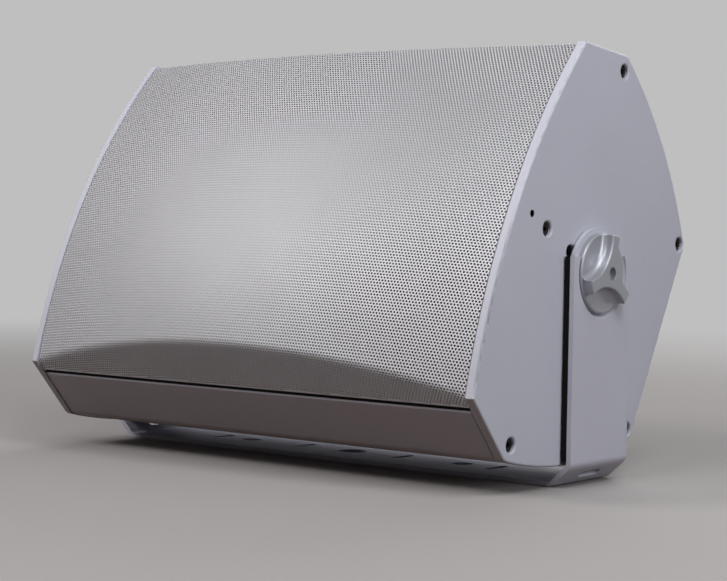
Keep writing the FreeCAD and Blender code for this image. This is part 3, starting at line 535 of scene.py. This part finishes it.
finishes = {
    "case_coat": powderCoat("caseCoat", {
        "colour": (0.625, 0.637, 0.72), "roughness": 0.54, "metallic": 0.05, "specular": 0.2,
        "cloudScale": 9.0, "grainScale": 1500.0, "peelScale": 420.0, "markScale": 26.0, "bump": 0.22,
        # painted shade in the pin hole: the coat turns near black within a small radius of its axis
        "edge": 0.0012, "thread": (-0.0877, 0.0, 0.00245), "threadColour": (0.008, 0.008, 0.008)}),
    "bracket_coat": powderCoat("bracketCoat", {
        "colour": (0.64, 0.645, 0.73), "roughness": 0.52, "metallic": 0.05, "specular": 0.12,
        "cloudScale": 12.0, "grainScale": 1500.0, "peelScale": 420.0, "markScale": 34.0, "bump": 0.22,
        "edge": 0.0008}),
    "grille_coat": powderCoat("grilleCoat", {
        "colour": (0.605, 0.6, 0.625), "roughness": 0.5, "metallic": 0.36, "specular": 0.35,
        "cloudScale": 7.0, "grainScale": 1700.0, "peelScale": 500.0, "markScale": 20.0, "bump": 0.12,
        "edge": 0.0}),
    "knob_coat": powderCoat("knobCoat", {
        "colour": (0.42, 0.43, 0.468), "roughness": 0.34, "metallic": 0.5, "specular": 0.5,
        "cloudScale": 30.0, "grainScale": 1500.0, "peelScale": 500.0, "markScale": 60.0, "bump": 0.15,
        "edge": 0.0008}),
    "black_steel": blackOxide("blackOxide", {
        "colour": (0.006, 0.006, 0.007), "wornColour": (0.03, 0.029, 0.028), "wornFrom": 0.63,
        "metallic": 0.35, "specular": 0.3, "grainScale": 1400.0, "wornScale": 300.0}),
    "plated_steel": platedSteel("zincPlate", {
        "colour": (0.56, 0.56, 0.53), "spangleScale": 260.0, "lineScale": 900.0}),
    "cast_frame": sandCast("castFrame", {
        "colour": (0.09, 0.09, 0.095), "sandScale": 700.0, "pitScale": 380.0, "metallic": 0.4}),
    "former_foil": platedSteel("formerFoil", {
        "colour": (0.62, 0.62, 0.62), "spangleScale": 500.0, "lineScale": 1600.0}),
    "ferrite": sandCast("ferrite", {
        "colour": (0.05, 0.05, 0.055), "sandScale": 500.0, "pitScale": 250.0, "metallic": 0.2}),
    "copper_wire": woundWire("copperWire", {
        "colour": (0.55, 0.24, 0.11), "turnScale": 300.0, "tintScale": 120.0}),
    "contact_brass": platedSteel("contactBrass", {
        "colour": (0.62, 0.50, 0.28), "spangleScale": 900.0, "lineScale": 2000.0}),
    "panel_board": fibreboard("fibreboard", {
        "colour": (0.30, 0.20, 0.12), "fibreScale": 900.0, "clumpScale": 90.0}),
    "acoustic_cloth": wovenCloth("acousticCloth", {
        "colour": (0.02, 0.02, 0.022), "threadScale": 320.0, "fuzzScale": 1800.0}),
    "felt": pressedFelt("pressedFelt", {
        "colour": (0.16, 0.16, 0.17), "woolScale": 600.0, "tuftScale": 70.0}),
    "seal_foam": mouldedRubber("sealFoam", {
        "colour": (0.006, 0.006, 0.006), "roughness": 0.75, "specular": 0.1, "skinScale": 900.0,
        "bloomScale": 120.0}),
    "roll_rubber": mouldedRubber("rollRubber", {
        "colour": (0.018, 0.018, 0.019), "roughness": 0.5, "specular": 0.5, "skinScale": 500.0,
        "bloomScale": 60.0}),
    "cone_pulp": pressedPulp("pressedPulp", {"colour": (0.03, 0.03, 0.032), "fibreScale": 420.0}),
    "spider_cloth": wovenCloth("spiderCloth", {
        "colour": (0.42, 0.30, 0.14), "threadScale": 260.0, "fuzzScale": 1500.0}),
    "cup_plastic": mouldedPlastic("cupPlastic", {
        "colour": (0.025, 0.025, 0.027), "pitScale": 1300.0, "roughness": 0.45, "bump": 0.4}),
    "board_laminate": mouldedPlastic("boardLaminate", {
        "colour": (0.04, 0.16, 0.07), "pitScale": 1600.0, "roughness": 0.4, "bump": 0.15}),
    "capacitor_sleeve": mouldedPlastic("capacitorSleeve", {
        "colour": (0.58, 0.40, 0.09), "pitScale": 700.0, "roughness": 0.2, "bump": 0.05}),
    "washer_nylon": mouldedPlastic("washerNylon", {
        "colour": (0.05, 0.05, 0.05), "pitScale": 1200.0, "roughness": 0.5, "bump": 0.15}),
}

slotOf = {part["node"]: part["material_slot"] for part in frame["record"]["subparts"]}
slotOf.update(
    knob_right="knob_coat", knob_left="knob_coat",  # a little darker and shinier than the bracket
    crossover_standoffs="case_coat",  # their studs end flush in the rear wall and are coated with it
)
for nodeName, solid in nodes.items():
    solid.data.materials.clear()
    solid.data.materials.append(finishes[slotOf[nodeName]])
for sheet in grilleSheets:
    sheet.data.materials.append(finishes["grille_coat"])
print("finishes:", len(finishes))


# floor, light and camera

studio = {
    "floorRings": 14, "floorSpokes": 96, "floorStart": 0.2, "floorRadius": 9.0,
    "floorDrop": 0.0004,     # keeps the floor clear of the base
    "leastFace": 1e-9,       # area below which a triangle is left out
    "floorColour": (0.39, 0.367, 0.36), "floorRoughness": 0.85, "floorGrain": 3.0,
    "floorBounce": (0.07, 0.034, 0.02),  # colour for the light that the floor throws back on the part
    "skyColour": (0.52, 0.52, 0.52), "skyLight": 0.016,
    "fade": (0.55, 2.2),     # distances from the middle between which the floor turns into sky
    "lamps": [               # name, place, diameter, watts, colour
        ("keyLamp", (0.95, -0.5, 1.5), 0.8, 11.2, (0.98, 0.99, 1.0)),
        ("sheenLamp", (-1.2, -1.3, 1.35), 0.9, 17.0, (1.0, 0.98, 0.98)),
        ("frontLamp", (0.17, -0.75, 0.85), 0.4, 2.6, (1.0, 0.98, 0.98)),
        ("sideLamp", (2.0, -0.1, 0.75), 0.8, 10.6, (0.92, 0.95, 1.0)),
        ("backLamp", (-0.4, 1.85, 1.25), 1.4, 19.0, (1.0, 1.0, 1.0)),
    ],
    "aim": (0.0, -0.02, 0.15),
}


def buildFloor():
    # disc of pale paper in rings: point = radius (cos a, sin a)
    rings = np.geomspace(studio["floorStart"], studio["floorRadius"], studio["floorRings"])
    spokes = studio["floorSpokes"]
    angle = np.linspace(0, 2 * math.pi, spokes, endpoint=False)
    r, a = np.meshgrid(np.concatenate([[0.0], rings]), angle, indexing="ij")
    height = np.full_like(r, -studio["floorDrop"])
    points = np.stack([r * np.cos(a), r * np.sin(a), height], -1).reshape(-1, 3)
    k, i = np.meshgrid(np.arange(len(rings)), np.arange(spokes), indexing="ij")
    here = k * spokes + i
    beside = k * spokes + (i + 1) % spokes
    faces = np.concatenate([np.stack([here, here + spokes, beside + spokes], -1).reshape(-1, 3),
                            np.stack([here, beside + spokes, beside], -1).reshape(-1, 3)])
    floor = meshFrom("floor", points, faces[triangleArea(points, faces) > studio["leastFace"]])
    f = Finish("palePaper")
    backdrop = f.backdropRays()
    f.set(Base_Color=f.blend(backdrop, studio["floorBounce"], studio["floorColour"]),
          Roughness=studio["floorRoughness"] + f.noise(studio["floorGrain"]) * 0.1)
    # far floor turns into the sky's colour, for the rays that show the backdrop
    away = f.add("ShaderNodeVectorMath", {"operation": "LENGTH"}, {0: f.place}, "Value")
    near, far = studio["fade"]
    faded = f.add("ShaderNodeMapRange", {"interpolation_type": "SMOOTHSTEP"},
                  {"Value": away, "From Min": near, "From Max": far})
    sky = f.add("ShaderNodeEmission", sockets={"Color": studio["skyColour"]})
    paper = Wire(f.tree, f.shader.outputs[0])
    both = f.add("ShaderNodeMixShader", sockets={0: faded * backdrop, 1: paper, 2: sky})
    f.join(f.tree.nodes["Material Output"].inputs["Surface"], both)
    floor.data.materials.append(f.material)


def buildLight():
    scene = bpy.context.scene
    scene.view_settings.view_transform = "Standard"
    world = bpy.data.worlds.new("studioSky")
    scene.world = world
    world.use_nodes = True
    world.node_tree.nodes.clear()
    sky = Graph(world.node_tree)
    lit = sky.add("ShaderNodeBackground", sockets={"Strength": studio["skyLight"], "Color": (1, 1, 1)})
    seen = sky.add("ShaderNodeBackground", sockets={"Color": studio["skyColour"]})
    both = sky.add("ShaderNodeMixShader", sockets={0: sky.backdropRays(), 1: lit, 2: seen})
    sky.add("ShaderNodeOutputWorld", sockets={"Surface": both}, output=None)
    for name, place, size, power, colour in studio["lamps"]:
        lamp = bpy.data.lights.new(name, "AREA")
        lamp.shape = "DISK"
        lamp.size = size
        lamp.energy = power
        lamp.color = colour
        holder = bpy.data.objects.new(name, lamp)
        scene.collection.objects.link(holder)
        holder.visible_camera = False  # lights the part but never shows in a view
        holder.location = place
        holder.rotation_euler = (Vector(studio["aim"]) - Vector(place)).to_track_quat("-Z", "Y").to_euler()


viewpoint = {
    "place": (0.8975, -1.1066, 0.1767), "yaw": 38.78, "pitch": 1.91, "roll": 0.98,  # metres and degrees
    "focal": 1828.2 / 727,   # in picture widths
    "sensorWidth": 36.0, "clipStart": 0.01,
}


def buildCamera():
    # looks along (-sin yaw cos pitch, cos yaw cos pitch, -sin pitch), rolled about that line
    yaw, pitch, roll = (math.radians(viewpoint[k]) for k in ("yaw", "pitch", "roll"))
    ahead = Vector((-math.sin(yaw) * math.cos(pitch), math.cos(yaw) * math.cos(pitch), -math.sin(pitch)))
    level = Vector((math.cos(yaw), math.sin(yaw), 0))
    upright = level.cross(ahead)
    right = level * math.cos(roll) + upright * math.sin(roll)
    up = upright * math.cos(roll) - level * math.sin(roll)
    lens = bpy.data.cameras.new("photoView")
    lens.sensor_fit = "HORIZONTAL"
    lens.sensor_width = viewpoint["sensorWidth"]
    lens.lens = viewpoint["focal"] * viewpoint["sensorWidth"]
    lens.clip_start = viewpoint["clipStart"]
    camera = bpy.data.objects.new("photoView", lens)
    bpy.context.scene.collection.objects.link(camera)
    turned = Matrix((right, up, -ahead)).transposed().to_4x4()
    camera.matrix_world = Matrix.Translation(viewpoint["place"]) @ turned
    bpy.context.scene.camera = camera


buildFloor()
buildLight()
buildCamera()
print("stage ready")
